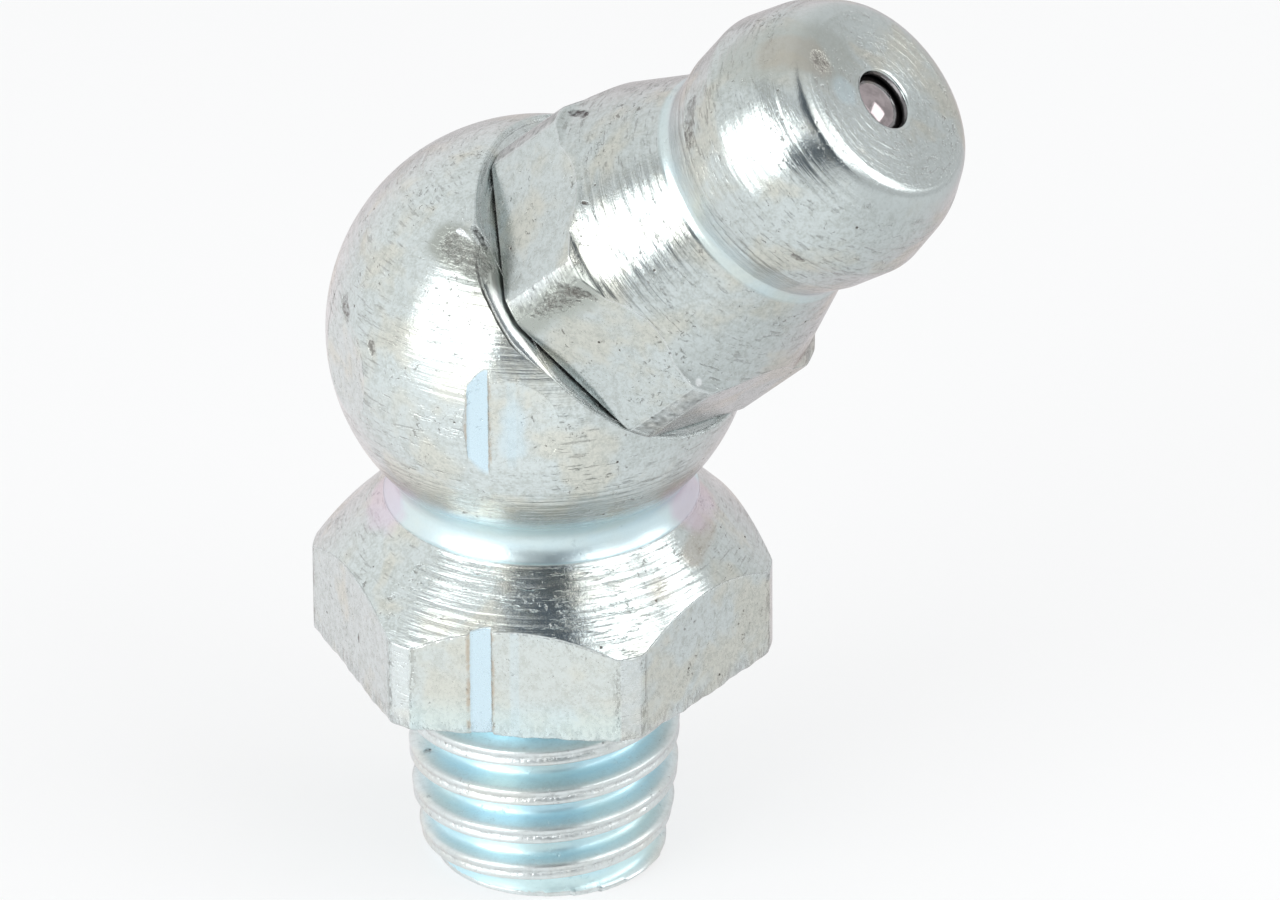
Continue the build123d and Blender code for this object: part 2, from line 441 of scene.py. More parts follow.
def shoulder_rows(skin, sizes, cone_start):
    """The cone above the hexagon and the hollow under the ball. Gives the latitude where the ball starts."""
    turned_radius = sizes.hexagon_turned / 2
    slope = math.tan(sizes.cone_angle)
    sine, cosine = math.sin(sizes.cone_angle), math.cos(sizes.cone_angle)
    # the hollow touches the cone and the ball: its centre lies beside the cone, on a circle round the ball
    hollow, tool_step = sizes.groove_radius, 0.02 * MM
    reach = (sizes.corner_height + turned_radius * slope) * cosine + hollow
    offset = reach - sizes.ball_height * cosine
    across = math.sqrt((sizes.ball_diameter / 2 + hollow) ** 2 - offset**2)
    centre_r = offset * sine + across * cosine
    centre_z = sizes.ball_height + offset * cosine - across * sine
    cone_r, cone_z = centre_r - hollow * sine, centre_z - hollow * cosine
    for t in np.linspace(0, 1, 25):
        r = cone_start + (cone_r + 2 * tool_step - cone_start) * t
        z = sizes.corner_height + (turned_radius - r) * slope
        skin.ring(r, z, along=z / sine)
    # fine step where the hollow's tool left the cone
    skin.ring(cone_r + tool_step, cone_z - tool_step / 10, along=cone_z / sine, turned=0.7, worn=0.6)
    start_angle = math.atan2(-cosine, -sine)
    end_angle = math.atan2(sizes.ball_height - centre_z, -centre_r) - 2 * math.pi
    if end_angle < start_angle - math.pi:
        end_angle += 2 * math.pi
    for t in np.linspace(0, 1, 15):
        angle = start_angle + (end_angle - start_angle) * t
        r, z = centre_r + hollow * math.cos(angle), centre_z + hollow * math.sin(angle)
        # The hollow's lower part is lightened with the colour of rubbed edges: painted light, standing in for
        # the light it reflects; the blue is the film.
        skin.ring(r, z, along=hollow * angle, turned=0.5, blue=0.5 + 0.2 * t, worn=0.5 * (1 - t), clean=0.6)
    return math.atan2(centre_z - sizes.ball_height, centre_r)


def ball_rows(skin, sizes, head, start):
    """The ball with the bar's flats, the rounded rim of the spot face, the face itself and the press bore."""
    ball, film_height = sizes.ball_diameter / 2, 0.5 * MM
    lean = math.atan2(head_axis.x, head_axis.z)
    spot_centre = np.array(head_front - head_axis * head.length)
    spot_distance = (spot_centre - (0, 0, sizes.ball_height)) @ np.array(head_axis)
    across, up = np.cos(skin.angles), np.sin(skin.angles)
    chord = np.minimum(bar_reach(sizes, skin.angles), ball)
    half_flat = np.arccos(chord / ball)
    foot = -ball * np.sin(half_flat)
    toward = across * math.sin(lean)
    ball_rim = np.arctan2(math.cos(lean), toward) - np.arccos(
        spot_distance / (ball * np.sqrt(toward**2 + math.cos(lean) ** 2))
    )
    # the spot face's rim lies below the flat, on it or above it, and its rounding starts a little lower
    cut_height = (spot_distance - chord * toward) / math.cos(lean)
    below_flat = ball_rim < -half_flat
    on_flat = ~below_flat & (half_flat > 0) & (cut_height < -foot)
    rim_r = np.where(on_flat, chord, ball * np.cos(ball_rim))
    rim_z = sizes.ball_height + np.where(on_flat, cut_height, ball * np.sin(ball_rim))
    rim = np.stack([rim_r * across, rim_r * up, rim_z], 1)
    around = np.arctan2((rim - spot_centre) @ np.array(head_side), (rim - spot_centre) @ np.array(head_down))
    rolled = np.clip(1.5 - np.abs(np.degrees(around) - ROLLED_SIDE) / ROLLED_SPAN, 0, 1)
    rounding = sizes.rim_round + (sizes.rim_roll - sizes.rim_round) * rolled
    above_foot = np.where(on_flat, cut_height - foot, (ball_rim + half_flat) * ball)
    above_top = np.where(on_flat, cut_height + foot, (ball_rim - half_flat) * ball)
    climbs = above_foot > rounding
    low = -half_flat - np.maximum(rounding - above_foot, 0) / ball
    flat_end = -foot - np.maximum(rounding - above_top, 0)
    ball_end = np.maximum(ball_rim - rounding / ball, half_flat)
    for t in steps(28):
        latitude = start + (low - start) * t
        film = np.clip(1.2 - (latitude - start) * ball / film_height, 0, 1)
        skin.ring(ball * np.cos(latitude), sizes.ball_height + ball * np.sin(latitude), along=ball * latitude,
                  blue=0.8 * film, clean=film)
    for t in steps(14):
        r = np.where(climbs, chord, ball * np.cos(low))
        z = np.where(climbs, foot + (flat_end - foot) * t, ball * np.sin(low))
        on_bar = climbs & (half_flat > 0.002)
        skin.ring(r, sizes.ball_height + z, along=ball * np.arctan2(z, r), turned=np.where(on_bar, 0.0, 1.0))
    round_again = climbs & (above_top > rounding)
    for t in steps(34):
        latitude = half_flat + (ball_end - half_flat) * t
        last_r = np.where(round_again, ball * np.cos(latitude), r)
        last_z = np.where(round_again, ball * np.sin(latitude), z)
        # Painted reflection: the last row before the rolled rim is darkened by the grime mask, standing in
        # for the dark band that the rim reflects.
        skin.ring(last_r, sizes.ball_height + last_z, along=ball * np.arctan2(last_z, last_r),
                  grime=0.75 * rolled * (t > 0.97))
    last = np.stack([last_r * across, last_r * up, sizes.ball_height + last_z], 1)
    spot_face_rows(skin, sizes, head, spot_centre, last, rim, rounding, rolled)


def spot_face_rows(skin, sizes, head, centre, last, rim, rounding, rolled):
    """The rounded rim from the last row of the ball or flats, the spot face inside it and the bore."""
    axis, side, down = (np.array(way) for way in (head_axis, head_side, head_down))
    outward = rim - centre
    outward -= np.outer(outward @ axis, axis)
    reach = np.linalg.norm(outward, axis=1)
    outward /= reach[:, None]
    ring_angle = np.arctan2(outward @ side, outward @ down)
    across, up = np.cos(ring_angle), np.sin(ring_angle)
    inner = rim - outward * rounding[:, None]
    for t in steps(8):
        points = curve(last, rim, inner, t)
        lathe = np.stack([across, up, reach / MM + t], 1)
        skin.row(points, lathe, turned=0.6 - 0.2 * rolled, clean=rolled, worn=0.8 * rolled)

    def face_row(distance, depth, **finish):
        distance = distance * np.ones(len(reach))
        lathe = np.stack([across, up, distance / MM], 1)
        skin.row(centre + outward * distance[:, None] - axis * depth, lathe, **finish)

    gap = head.undercut_diameter / 2
    for t in steps(5):
        face_row((reach - rounding) * (1 - t) + (gap + 0.25 * MM) * t, 0.0, worn=0.4)
    # Painted shade: the spot face turns near black under the collar's overhang, and the press bore is near
    # black.
    face_row(gap + 0.1 * MM, 0.0, grime=0.5)
    face_row(gap - 0.1 * MM, 0.0, grime=1.0)
    bore = sizes.bore_diameter / 2
    face_row(bore, 0.0, grime=1.0)
    face_row(bore, sizes.bore_depth, grime=1.0)
    face_row(bore * POINTED, sizes.bore_depth, grime=1.0)


# (radius, height) of the thread's crests in millimetres, from the tip up: they fall away towards the tip
CREST_LINE = [(2.56, -5.2), (2.66, -5.07), (2.745, -4.56), (2.875, -3.9), (2.94, -3.1), (2.98, -2.2)]


def thread_skin(thread, angles):
    """The rolled thread as a helical strip from the shank to the tip, and how many rows each turn has."""
    turns_round = (angles - angles[0]) / (2 * math.pi)
    first_crest = thread.start_height + thread.pitch * (angles[0] - thread.start_turn) / (2 * math.pi)
    top, bottom = thread_top, tip_start
    half_crest, flank = thread.crest_width / 2, thread.flank_width
    foot = half_crest + flank
    near, run_out = 0.02 * MM, 0.7 * MM
    stops = [0, 1.5 * near, thread.seam_width, half_crest - near, half_crest + near, foot - near,
             foot + 2 * near, thread.pitch / 2]
    below = spaced(stops, [1, 1, 2, 1, 3, 1, 3])
    phases = np.concatenate([below, [thread.pitch / 2], thread.pitch - below[:0:-1]])
    above = math.ceil((top - first_crest) / thread.pitch) + 1
    turns = math.ceil((first_crest - bottom) / thread.pitch) + 1 + above
    crest_radii, crest_heights = zip(*CREST_LINE)
    skin = Skin(angles)
    above_tip = np.full(len(angles), thread.shank_radius)
    for k in range(turns * len(phases) + 1):
        phase = phases[k % len(phases)]
        drop = (k // len(phases) - above) * thread.pitch + phase
        helix = first_crest + thread.pitch * turns_round - drop
        height = np.clip(helix, bottom, top)
        off_crest = min(phase, thread.pitch - phase)
        rise = np.clip((foot - off_crest) / flank, 0, 1)
        rise = rise * rise * (3 - 2 * rise)
        crest = np.interp(height / MM, crest_heights, crest_radii) * MM
        valley = max(off_crest - foot, 0) / (thread.pitch / 2 - foot)
        sag = 0.03 * MM * (1 - (1 - valley) ** 2)
        in_seam = math.exp(-((off_crest / thread.seam_width) ** 2))
        waves = 1 + 0.3 * np.sin(angles * 9 + k) * np.sin(angles * 31)
        form_depth = crest - thread.root_radius - thread.seam_depth * in_seam * waves
        radius = thread.root_radius - sag + form_depth * rise
        # the thread fades out under the hexagon, and rows past the tip stay on its last radius
        fade = np.clip((top - height) / run_out, 0, 1)
        radius = thread.shank_radius + (radius - thread.shank_radius) * fade
        radius = above_tip = np.where(helix < bottom, above_tip, radius)
        blue = np.maximum(1 - rise, 0.6 * (1 - fade)) * (0.3 + 0.7 * fade)
        skin.ring(radius, height, turned=0.5 + 0.5 * (1 - fade), blue=blue, worn=rise * 0.8,
                  pitted=0.5 * in_seam * fade)
    return skin, len(phases)


def tip_rows(skin, sizes, thread, ring_radius):
    """The end of the thread and the grease channel."""
    channel, chamfer = sizes.channel_diameter / 2, sizes.channel_chamfer
    edge = np.minimum(ring_radius, thread.tip_radius)
    skin.ring(ring_radius, tip_start, turned=0.6, worn=0.6)
    for inset, rise in ((0, 0.08), (0, 0.03), (0, 0.008), (0.004, 0)):
        skin.ring(edge - inset * MM, thread_tip + rise * MM, worn=0.8)
    skin.ring(edge - 0.03 * MM, thread_tip, worn=0.3)
    for t in steps(5):
        r = (thread.tip_radius - 0.1 * MM) * (1 - t) + (channel + chamfer) * t
        skin.ring(r, thread_tip, along=r)
    # Painted shade: the grease channel darkens from its chamfer to near black inside.
    skin.ring(channel, thread_tip + chamfer, grime=0.4)
    skin.ring(channel, sizes.channel_top, grime=1.0)
    skin.ring(channel * POINTED, sizes.channel_top, grime=1.0)


def end_radii(screw):
    """Radius of the helical strip where each column reaches the tip."""
    points = np.array(screw.points)
    reached = (points[:, :, 2] <= tip_start + 1e-9).argmax(axis=0)
    return np.linalg.norm(points[reached, np.arange(points.shape[1])][:, :2], axis=1)


def build_body(body, thread, head):
    """The whole elbow body as one closed mesh."""
    angles = body_columns(body)
    upper = Skin(angles)
    upper.ring(thread.shank_radius, thread_top, turned=0.6, blue=0.6)
    cone_start = hexagon_rows(upper, body, thread)
    start = shoulder_rows(upper, body, cone_start)
    ball_rows(upper, body, head, start)
    screw, rows_in_a_turn = thread_skin(thread, angles)
    tip = Skin(angles)
    tip_rows(tip, body, thread, end_radii(screw))
    faces, corners, first = [], [], 0
    for skin, shift in ((upper, 0), (screw, rows_in_a_turn), (tip, 0)):
        quads, places = skin.faces(first, shift)
        faces += quads
        corners += places
        first += len(skin.points) * len(angles)
    return mesh_piece("nipple_body", [upper, screw, tip], faces, corners)


# ---------------------------------------------------------------- nipple head and spring

TAPER_END = 0.93  # share of the taper where the rounding into the neck takes over


def in_head_place(name, skin, quads, corners, sizes):
    """A piece drawn round the head's axis from the spot face, moved to its place."""
    place = oriented(head_down, head_side, head_axis, head_front - head_axis * sizes.length)
    return mesh_piece(name, [skin], quads, corners, place)


def head_columns(sizes):
    """Angles round the head's axis, with columns on every edge of every flat."""
    corner = math.acos(sizes.collar_width / sizes.collar_turned)
    near = NEAR_CORNER
    stops = [-HALF_SIDE, -corner - near, -corner, -corner + near,
             corner - near, corner, corner + near, HALF_SIDE]
    return six_sectors(stops, [4, 1, 1, 36, 1, 1, 4], sizes.collar_turn)


def nose_outline(sizes):
    """(radius, height) points from the taper over the neck and the ridge to the inlet and the bore."""
    inlet, bore, lip = sizes.inlet_diameter / 2, sizes.valve_bore / 2, sizes.lip_diameter / 2
    seat = sizes.length - sizes.inlet_length
    rear = -sizes.spigot_length
    middle = Vector((sizes.middle_diameter / 2, sizes.middle_height))
    front = Vector((sizes.front_diameter / 2, sizes.length))
    scribe = []
    for offset, depth in ((-0.025, 0), (0, 0.005), (0.025, 0)):
        share = (sizes.scribe_height + offset * MM - middle.y) / (front.y - middle.y)
        point = middle.lerp(front, share)
        scribe.append((point.x - depth * MM, point.y, 0))
    corners = [
        (*taper_point(sizes, TAPER_END), 0),
        (sizes.neck_diameter / 2, sizes.neck_height, 0.3 * MM),
        (sizes.flank_diameter / 2, sizes.flank_height, 0.4 * MM),
        (sizes.ridge_diameter / 2, sizes.ridge_height, 0.6 * MM),
        (sizes.middle_diameter / 2, sizes.middle_height, 1.6 * MM),
        *scribe,
        (sizes.front_diameter / 2, sizes.length, sizes.front_round),
        (inlet, sizes.length, 0.09 * MM),
        (inlet, seat, 0),
        (bore, seat - (bore - inlet), 0),
        (bore, sizes.lip_thickness + rear, 0),
        (lip, sizes.lip_thickness + rear, 0),
        (lip, rear, 0),
    ]
    return rounded_outline(corners)


def taper_point(sizes, t):
    """(radius, height) on the taper, from 0 at the collar's chamfer to 1 at the neck."""
    start = Vector((sizes.chamfer_diameter / 2, sizes.corner_height + sizes.chamfer_height))
    return start.lerp(Vector((sizes.neck_diameter / 2, sizes.neck_height)), t)


def collar_rows(skin, sizes):
    """The spigot, the shadow gap, the collar with its flats and the taper. They end short of the neck."""
    flats = flat_reach(skin.angles, sizes.collar_turn, sizes.collar_width)
    side, on_flat = turned_down(flats, sizes.collar_turned)
    spigot, undercut = sizes.spigot_diameter / 2, sizes.undercut_diameter / 2
    chamfer, edge, crease = 0.2 * MM, 0.06 * MM, 0.035 * MM
    rear, low = -sizes.spigot_length, sizes.undercut_height
    # Painted shade: the spigot and the undercut are near black, and the collar's lower edge darkens towards
    # the gap.
    hidden = (spigot - chamfer, rear), (spigot, chamfer + rear), (spigot, 0), (undercut, 0), (undercut, low)
    for radius, height in hidden:
        skin.ring(radius, height, grime=1.0)
    band_wear = 0.4 * (1 - on_flat)
    skin.ring(side - edge, low, turned=0.6, grime=0.6)
    skin.ring(side - edge * 0.3, low + edge * 0.3, turned=1 - on_flat, grime=0.2)
    skin.ring(side, low + edge, turned=1 - on_flat, worn=band_wear)
    start_r, start_z = taper_point(sizes, 0)
    end_r, end_z = taper_point(sizes, TAPER_END)
    radii, heights = [sizes.collar_turned / 2, start_r, end_r], [sizes.corner_height, start_z, end_z]
    top = np.interp(-side, -np.array(radii), heights)
    # The grime mask also gives the corner bands darker patches.
    for t in steps(14):
        skin.ring(side, low + edge + (top - crease - low - edge) * t, turned=1 - on_flat,
                  worn=band_wear, grime=0.45 * (1 - on_flat))
    skin.ring(side - crease * 0.12, top - crease * 0.1, turned=0.6, worn=0.7)
    first = top + crease * 0.6
    for t in np.linspace(0, 1, 26, endpoint=False):
        z = first + (end_z - first) * t
        skin.ring(np.interp(z, heights, radii), z)


def build_head(sizes):
    """The nipple head as one closed mesh, in its place in the ball."""
    skin = Skin(head_columns(sizes))
    collar_rows(skin, sizes)
    flank_end = sizes.length - 0.3 * MM
    for r, z in nose_outline(sizes):
        inside = r < sizes.valve_bore / 2 + 0.01 * MM and z < sizes.length - 0.1 * MM
        in_groove = z < sizes.flank_height - 0.25 * MM and not inside
        on_edge = flank_end < z < sizes.length - 1e-9 and not inside
        smooth = in_groove or on_edge
        # Painted shade: the bore inside the head is near black, and the neck groove is a little darker.
        skin.ring(r, z, along=z + max(sizes.front_diameter / 2 - r, 0), turned=0.4 if smooth else 1.0,
                  blue=0.25 * in_groove, clean=0.6 if smooth else 0.3 * (z > flank_end),
                  grime=1.0 if inside else 0.1 * in_groove)
    return in_head_place("nipple_head_shell", skin, *skin.faces(closed=True), sizes)


def spring_foot(sizes):
    """Height of the spring's first coil, which rests on the rolled lip with a small clearance."""
    clearance = 0.02 * MM
    return sizes.lip_thickness - sizes.spigot_length + sizes.spring_wire / 2 + clearance


def build_spring(sizes):
    """The check spring, round wire wound from the rolled lip to the ball."""
    skin = Skin(np.linspace(0, 2 * math.pi, 12, endpoint=False))
    coil = (sizes.spring_diameter - sizes.spring_wire) / 2
    foot = spring_foot(sizes)
    turns = (sizes.spring_top - foot) / sizes.spring_pitch
    lead = math.atan2(sizes.spring_pitch, 2 * math.pi * coil)
    across, up = np.cos(skin.angles), np.sin(skin.angles)
    wire = sizes.spring_wire / 2
    cut_end = wire * 0.001  # the wire's ends close to a point
    along_wire = [(t, wire) for t in np.linspace(0, turns, 170)]
    for t, radius in [(0, cut_end), *along_wire, (turns, cut_end)]:
        angle = 2 * math.pi * t
        outward = np.array([math.cos(angle), math.sin(angle), 0])
        side = np.array([math.sin(angle) * math.sin(lead), -math.cos(angle) * math.sin(lead), math.cos(lead)])
        centre = outward * coil + np.array([0, 0, foot + t * sizes.spring_pitch])
        points = centre + radius * (np.outer(across, outward) + np.outer(up, side))
        skin.row(points, np.stack([across, up, t * np.ones(len(across))], 1), turned=0.0)
    return in_head_place("wound_spring", skin, *skin.faces(), sizes)


# ---------------------------------------------------------------- material nodes


def node_group(name, inputs, outputs):
    """An empty shader node group with its sockets, given as names and kinds."""
    group = bpy.data.node_groups.new(name, "ShaderNodeTree")
    for label, kind in inputs.items():
        group.interface.new_socket(label, in_out="INPUT", socket_type="NodeSocket" + kind)
    for label, kind in outputs.items():
        group.interface.new_socket(label, in_out="OUTPUT", socket_type="NodeSocket" + kind)
    return group, group.nodes.new("NodeGroupInput"), group.nodes.new("NodeGroupOutput")


def new_material(name):
    """A material, its nodes and its shader."""
    material = bpy.data.materials.new(name)
    material.use_nodes = True
    return material, material.node_tree, material.node_tree.nodes["Principled BSDF"]


def feed(tree, node, values):
    """Links or sets a node's inputs, by their names or places."""
    for socket, value in dict(values).items():
        if isinstance(value, bpy.types.NodeSocket):
            tree.links.new(value, node.inputs[socket])
        else:
            node.inputs[socket].default_value = value


def add(tree, kind, values=(), **settings):
    """A node with its settings, and links or values for its inputs."""
    node = tree.nodes.new(kind)
    for key, value in settings.items():
        setattr(node, key, value)
    feed(tree, node, values)
    return node


def grouped(tree, name, **links):
    """A shared group's outputs, with its inputs linked or set by name."""
    return add(tree, "ShaderNodeGroup", links, node_tree=bpy.data.node_groups[name]).outputs


def maths(tree, operation, a, b=0.0, c=0.0, clamp=False):
    return add(tree, "ShaderNodeMath", {0: a, 1: b, 2: c}, operation=operation, use_clamp=clamp).outputs[0]


def times(tree, a, b):
    return maths(tree, "MULTIPLY", a, b)


def plus(tree, total, *parts):
    """The total with other values added, each times its weight."""
    for value, weight in parts:
        total = maths(tree, "MULTIPLY_ADD", value, weight, total)
    return total


def inverse(tree, a):
    return maths(tree, "SUBTRACT", 1.0, a)


def blend(tree, factor, a, b):
    """Colour a, and colour b where factor is 1."""
    a, b = (x if isinstance(x, bpy.types.NodeSocket) else (*x[:3], 1) for x in (a, b))
    return add(tree, "ShaderNodeMix", {0: factor, 6: a, 7: b}, data_type="RGBA").outputs[2]


def layered(tree, colour, *layers):
    """The colour with others laid over it, each by a mask and a strength."""
    for mask, strength, coat in layers:
        colour = blend(tree, times(tree, mask, strength), colour, coat)
    return colour


def band(tree, value, low, high):
    """0 below low, 1 above high, and smooth between."""
    node = add(
        tree, "ShaderNodeMapRange", {"Value": value, "From Min": low, "From Max": high},
        interpolation_type="SMOOTHSTEP",
    )
    return node.outputs[0]


def between(tree, value, low, high, soft):
    """1 between low and high, with soft edges."""
    inside = band(tree, value, low - soft, low + soft)
    return times(tree, inside, inverse(tree, band(tree, value, high - soft, high + soft)))


def noise(tree, vector, scale, detail=3.0, roughness=0.55, distortion=0.0):
    node = add(
        tree, "ShaderNodeTexNoise",
        {"Vector": vector, "Scale": scale, "Detail": detail, "Roughness": roughness,
         "Distortion": distortion},
    )
    return node.outputs[0]


def vector_maths(tree, operation, a, b, second=1):
    """A vector and a value from two vectors. second is the input that b goes to."""
    return add(tree, "ShaderNodeVectorMath", {0: a, second: b}, operation=operation).outputs


def scaled(tree, vector, scale):
    return vector_maths(tree, "MULTIPLY", vector, scale)["Vector"]


def stretched_noise(tree, vector, scale, detail, roughness=0.55):
    """Noise with a scale of its own along each axis."""
    return noise(tree, scaled(tree, vector, scale), 1.0, detail, roughness)


def along(tree, vector, axis):
    """How far a place lies along an axis."""
    return vector_maths(tree, "DOT_PRODUCT", vector, axis)["Value"]


def split(tree, vector):
    """The three values of a vector."""
    return add(tree, "ShaderNodeSeparateXYZ", {0: vector}).outputs


def attribute(tree, name):
    return add(tree, "ShaderNodeAttribute", attribute_name=name).outputs["Vector"]


def place_in_millimetres(tree):
    return scaled(tree, add(tree, "ShaderNodeTexCoord").outputs["Object"], (1 / MM,) * 3)


def add_bump(tree, shader, height):
    bump = add(tree, "ShaderNodeBump", {"Height": height, "Distance": 1.0})
    feed(tree, shader, {"Normal": bump.outputs[0]})


TOOL_FEED = 0.21  # millimetres from one groove of the lathe tool to the next


def turning_marks_group():
    """Grooves of the lathe tool, one for each turn, with finer arcs between them and torn dashes."""
    group, source, result = node_group(
        "Turning marks", {"Lathe": "Vector", "Place": "Vector"},
        {"Lines": "Float", "Tears": "Float", "Height": "Float"},
    )
    lathe, place = source.outputs["Lathe"], source.outputs["Place"]
    wander = stretched_noise(group, lathe, (1.3, 1.3, 0.8), 2.0)
    phase = plus(group, times(group, split(group, lathe)["Z"], 2 * math.pi / TOOL_FEED), (wander, 9.0))
    grooves = plus(group, 0.5, (maths(group, "SINE", phase), 0.5))
    depth = band(group, stretched_noise(group, lathe, (2.0, 2.0, 2.5), 2.0), 0.38, 0.66)
    arcs = stretched_noise(group, lathe, (3.2, 3.2, 10.0), 2.0, 0.6)
    fine = stretched_noise(group, lathe, (1.2, 1.2, 22.0), 2.0, 0.6)
    lines = plus(group, times(group, arcs, 0.45), (times(group, grooves, depth), 0.35), (fine, 0.3))
    torn = stretched_noise(group, lathe, (7.0, 7.0, 13.0), 3.0, 0.6)
    clusters = band(group, noise(group, place, 0.9, 2.0), 0.42, 0.66)
    tears = band(group, plus(group, torn, (clusters, 0.08)), 0.62, 0.72)
    feed(group, result, {"Lines": lines, "Tears": tears, "Height": plus(group, lines, (tears, -0.35))})


def zinc_film_group(colours):
    """Greenish mottling, warm patches, ragged dark pits and the grain of the plating."""
    group, source, result = node_group(
        "Zinc film", {"Place": "Vector", "Clean": "Float"},
        {"Color": "Color", "Dull": "Float", "Pits": "Float", "Height": "Float"},
    )
    place, soiled = source.outputs["Place"], inverse(group, source.outputs["Clean"])
    clouds = noise(group, place, 0.7, 3.0, 0.55, 0.3)
    mottle = noise(group, place, 4.5, 5.0, 0.7, 0.5)
    grain = noise(group, place, 15.0, 3.0, 0.65)
    mixed = plus(group, times(group, mottle, 0.55), (grain, 0.45))
    dull = times(group, band(group, mixed, 0.42, 0.64), soiled)
    colour = blend(group, band(group, clouds, 0.47, 0.64), colours.zinc, colours.zinc_warm)
    colour = layered(group, colour, (dull, 0.55, colours.zinc_dull))
    ragged = noise(group, place, 8.0, 4.0, 0.7, 0.6)
    clusters = band(group, noise(group, place, 1.1, 2.0), 0.46, 0.66)
    deep = times(group, band(group, plus(group, ragged, (clusters, 0.1)), 0.67, 0.75), soiled)
    cells = add(group, "ShaderNodeTexVoronoi", {"Vector": place, "Scale": 2.3})
    dots = inverse(group, band(group, cells.outputs["Distance"], 0.04, 0.1))
    specks = times(group, dots, band(group, noise(group, place, 2.1, 1.0), 0.54, 0.6))
    pits = maths(group, "MAXIMUM", times(group, deep, 0.6), times(group, specks, soiled))
    height = maths(group, "SUBTRACT", plus(group, times(group, grain, 0.3), (mottle, 0.5)), pits)
    colour = blend(group, pits, colour, colours.pit)
    feed(group, result, {"Color": colour, "Dull": dull, "Pits": pits, "Height": height})


def mark_group():
    """A ragged mark round a point or along a short line."""
    group, source, result = node_group(
        "Mark",
        {"Place": "Vector", "Ragged": "Float", "Start": "Vector", "Line": "Vector", "Step": "Vector",
         "Size": "Float"},
        {"Mask": "Float"},
    )
    sockets = source.outputs
    away = vector_maths(group, "SUBTRACT", sockets["Place"], sockets["Start"])["Vector"]
    share = maths(group, "ADD", along(group, away, sockets["Step"]), 0.0, clamp=True)
    nearest = vector_maths(group, "SCALE", sockets["Line"], share, "Scale")["Vector"]
    distance = vector_maths(group, "DISTANCE", away, nearest)["Value"]
    reach = maths(group, "DIVIDE", distance, sockets["Size"])
    reach = plus(group, reach, (maths(group, "SUBTRACT", sockets["Ragged"], 0.5), 1.8))
    feed(group, result, {"Mask": inverse(group, band(group, reach, 0.5, 1.2))})


# ---------------------------------------------------------------- finishes

# Marks: start and end in millimetres, size, colour and strength.
BODY_MARKS = [
    ((3.85, -0.48, 3.22), (3.69, 0.62, 3.36), 0.35, "rust", 0.3),
    ((3.76, -1.75, 2.95), (3.76, -1.75, 2.95), 0.35, "rust", 0.25),
    ((-3.09, -3.12, 9.09), (-2.9, -3.3, 8.9), 0.16, "pit", 0.7),
    ((-2.0, -4.03, 8.73), (-1.9, -4.1, 8.6), 0.12, "pit", 0.7),
    ((0.18, -4.54, 8.52), (0.7, -4.5, 8.6), 0.5, "zinc_warm", 0.8),
    # A dull patch with dark dots on the ball's top, just above the key's highlight: the dots are real pits,
    # and the patch's darkness is painted reflection of the dark above the softbox.
    ((-0.6, -3.1, 11.1), (0.4, -3.35, 10.7), 0.55, "zinc_dull", 1.0),
    ((-0.5, -3.1, 11.1), (0.3, -3.3, 10.8), 0.32, "pit", 0.5),
    ((-0.15, -2.72, 11.33), (0.3, -2.9, 11.08), 0.09, "grime", 0.9),
    ((-0.45, -2.84, 11.28), (0.05, -2.95, 11.1), 0.07, "worn", 1.0),
    # Painted sheen: violet patches on the hollow under the ball, at its two silhouettes.
    ((-2.95, -1.71, 3.75), (-2.6, -2.3, 3.9), 0.75, "violet_sheen", 0.6),
    ((3.12, 1.2, 3.8), (3.3, 0.4, 3.85), 0.75, "violet_sheen", 0.6),
    ((-2.59, -3.71, 1.13), (-2.59, -3.71, 1.25), 0.06, "pit", 1.0),
    ((-1.84, -1.96, -2.36), (-1.84, -1.96, -2.36), 0.1, "grime", 1.0),
    ((1.47, -4.25, 8.0), (1.5, -4.25, 7.2), 0.3, "drawn", 0.45),
]
HEAD_MARKS = [
    ((1.7, -3.95, 10.1), (2.9, -3.76, 11.0), 0.55, "zinc_dull", 1.0),
    ((1.95, -4.05, 10.3), (2.65, -3.9, 10.85), 0.34, "pit", 0.7),
    ((2.77, -3.76, 11.03), (3.2, -3.75, 10.9), 0.12, "pit", 0.7),
    ((7.2, -0.6, 16.2), (5.6, -1.6, 16.3), 0.95, "zinc_dull", 0.62),
    ((7.14, -1.13, 16.28), (6.3, -1.33, 16.4), 0.5, "rust", 0.22),
    ((4.55, -1.78, 14.95), (4.76, -2.3, 14.38), 0.2, "pit", 0.6),
    ((2.48, -2.78, 12.61), (2.75, -2.85, 12.65), 0.045, "pit", 1.0),
    ((7.46, -2.74, 12.45), (7.6, -2.7, 12.3), 0.09, "pit", 0.9),
    # Painted glint: a bright dot on the collar's turned corner.
    ((5.23, -2.83, 8.94), (5.23, -2.83, 8.94), 0.1, "worn", 1.0),
    ((1.18, -0.57, 13.42), (1.5, -0.7, 13.5), 0.12, "grime", 1.0),
    ((7.75, -0.95, 15.62), (7.75, -0.95, 15.62), 0.35, "drawn", 0.4),
    ((7.2, -0.97, 16.21), (7.2, -0.97, 16.21), 0.25, "pit", 0.5),
    # Painted shadow: a near-black spot under the collar's lower corner, where it meets the spot face's rim.
    ((3.79, -2.53, 7.23), (3.79, -2.53, 7.23), 0.15, "grime", 1.0),
]


